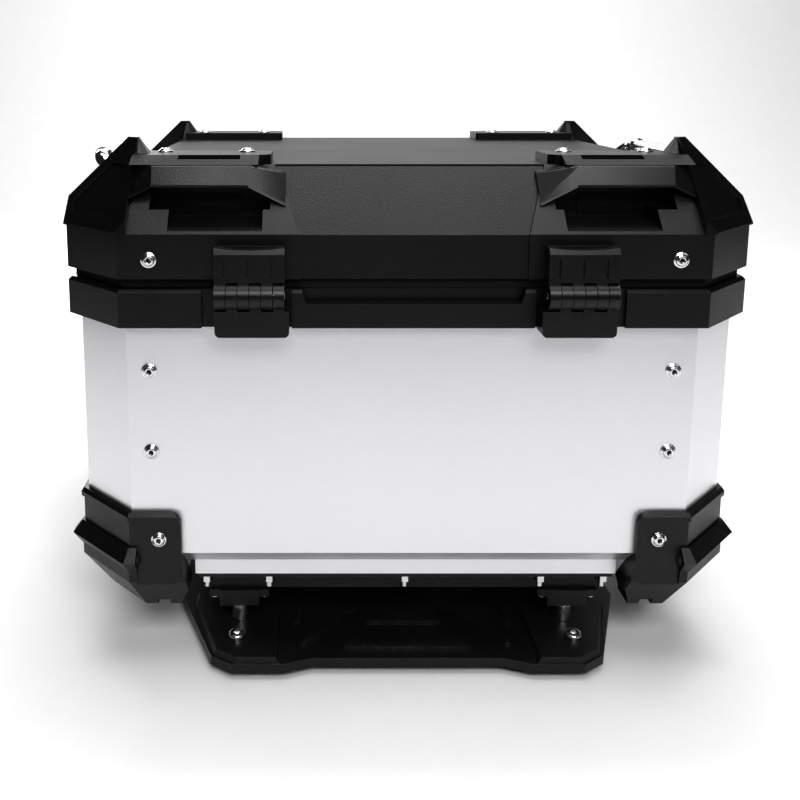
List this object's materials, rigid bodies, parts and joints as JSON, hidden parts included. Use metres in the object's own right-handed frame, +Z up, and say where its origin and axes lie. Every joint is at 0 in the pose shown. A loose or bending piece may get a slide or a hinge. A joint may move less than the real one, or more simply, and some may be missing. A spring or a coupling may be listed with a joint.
{
  "type": "motorcycle top case",
  "caption": "Octagonal sheet-aluminium motorcycle top case with black moulded rim, hinged lid, corner handles, locks and a pressed-steel quick-release base plate.",
  "frame": {"origin": "on the ground, under the centre of the bounding box", "axes": "+X to the right seen from the hinge side, -Y towards the hinges, +Z up"},
  "size_m": [0.4372, 0.3826, 0.336],
  "materials": {
    "satin_aluminium": "satin",
    "inner_aluminium": "mill",
    "rim_plastic": "fine grain",
    "seal_rubber": "matte",
    "stainless": "bright",
    "black_steel": "powder coat",
    "foot_rubber": "matte",
    "lid_textured": "pebble grain",
    "lid_brushed": "brushed black",
    "corner_plastic": "fine pebble grain",
    "guard_plastic": "semi-matte",
    "chrome": "polished",
    "hinge_plastic": "semi-matte",
    "zinc_steel": "zinc plated"
  },
  "bodies": {
    "base": {"base_plate": "black_steel", "rack_clamp_bolts": "stainless", "dock_keeper": "black_steel", "rack_clamp_front_left": "foot_rubber", "rack_clamp_front_right": "foot_rubber", "rack_clamp_rear_left": "foot_rubber", "rack_clamp_rear_right": "foot_rubber"},
    "case": {"body_rim": "rim_plastic", "body_rivets": "stainless", "body_shell": "satin_aluminium", "corner_protector_front_left": "corner_plastic", "corner_protector_front_right": "corner_plastic", "corner_protector_rear_left": "corner_plastic", "corner_protector_rear_right": "corner_plastic", "corner_stiffener_front_left": "inner_aluminium", "corner_stiffener_front_right": "inner_aluminium", "corner_stiffener_rear_left": "inner_aluminium", "corner_stiffener_rear_right": "inner_aluminium", "dock_lock_housing": "hinge_plastic", "dock_plate": "black_steel", "dock_plate_bolts": "stainless", "docking_block_front_left": "black_steel", "docking_block_front_right": "black_steel", "docking_block_rear_left": "black_steel", "docking_block_rear_right": "black_steel", "docking_block_screws": "stainless", "docking_studs": "stainless", "hinge_lower_left": "hinge_plastic", "hinge_lower_right": "hinge_plastic", "hinge_pin_left": "stainless", "hinge_pin_right": "stainless", "hinge_rim_screws": "stainless", "lid_seal": "seal_rubber", "lock_housing": "hinge_plastic", "lock_screws": "stainless", "protector_rivets": "stainless"},
    "lid": {"lid_shell": "lid_textured", "lid_top_panel": "lid_brushed", "lid_handle_rivets": "stainless", "lid_band_rivets": "stainless", "side_handle_left": "chrome", "side_handle_right": "chrome", "side_handle_nuts": "stainless", "hinge_upper_left": "hinge_plastic", "hinge_upper_right": "hinge_plastic", "hinge_lid_screws": "stainless", "lock_cover": "hinge_plastic", "lock_striker": "zinc_steel", "lid_corner_front_left": "corner_plastic", "lid_corner_front_right": "corner_plastic", "lid_corner_rear_left": "corner_plastic", "lid_corner_rear_right": "corner_plastic", "corner_guard_front_left": "guard_plastic", "corner_guard_front_right": "guard_plastic", "corner_guard_rear_left": "guard_plastic", "corner_guard_rear_right": "guard_plastic"},
    "lid_lock": {"lid_lock_cylinder": "chrome", "lid_lock_cam": "zinc_steel"},
    "dock_lock": {"dock_lock_cylinder": "chrome", "dock_lock_cam": "zinc_steel"}
  },
  "joints": [
    {"name": "case_release", "type": "slide", "parent": "base", "child": "case", "axis": [0, 1, 0], "range_m": [0, 0.016]},
    {"name": "lid_hinge", "type": "hinge", "parent": "case", "child": "lid", "pos_m": [0, -0.183, 0.2467], "axis": [1, 0, 0], "range_deg": [0, 95]},
    {"name": "lid_lock_turn", "type": "hinge", "parent": "case", "child": "lid_lock", "pos_m": [0, 0.185, 0.232], "axis": [0, 1, 0], "range_deg": [0, 90]},
    {"name": "dock_lock_turn", "type": "hinge", "parent": "case", "child": "dock_lock", "pos_m": [0, 0.13, 0.042], "axis": [0, 1, 0], "range_deg": [0, 90]}
  ]
}
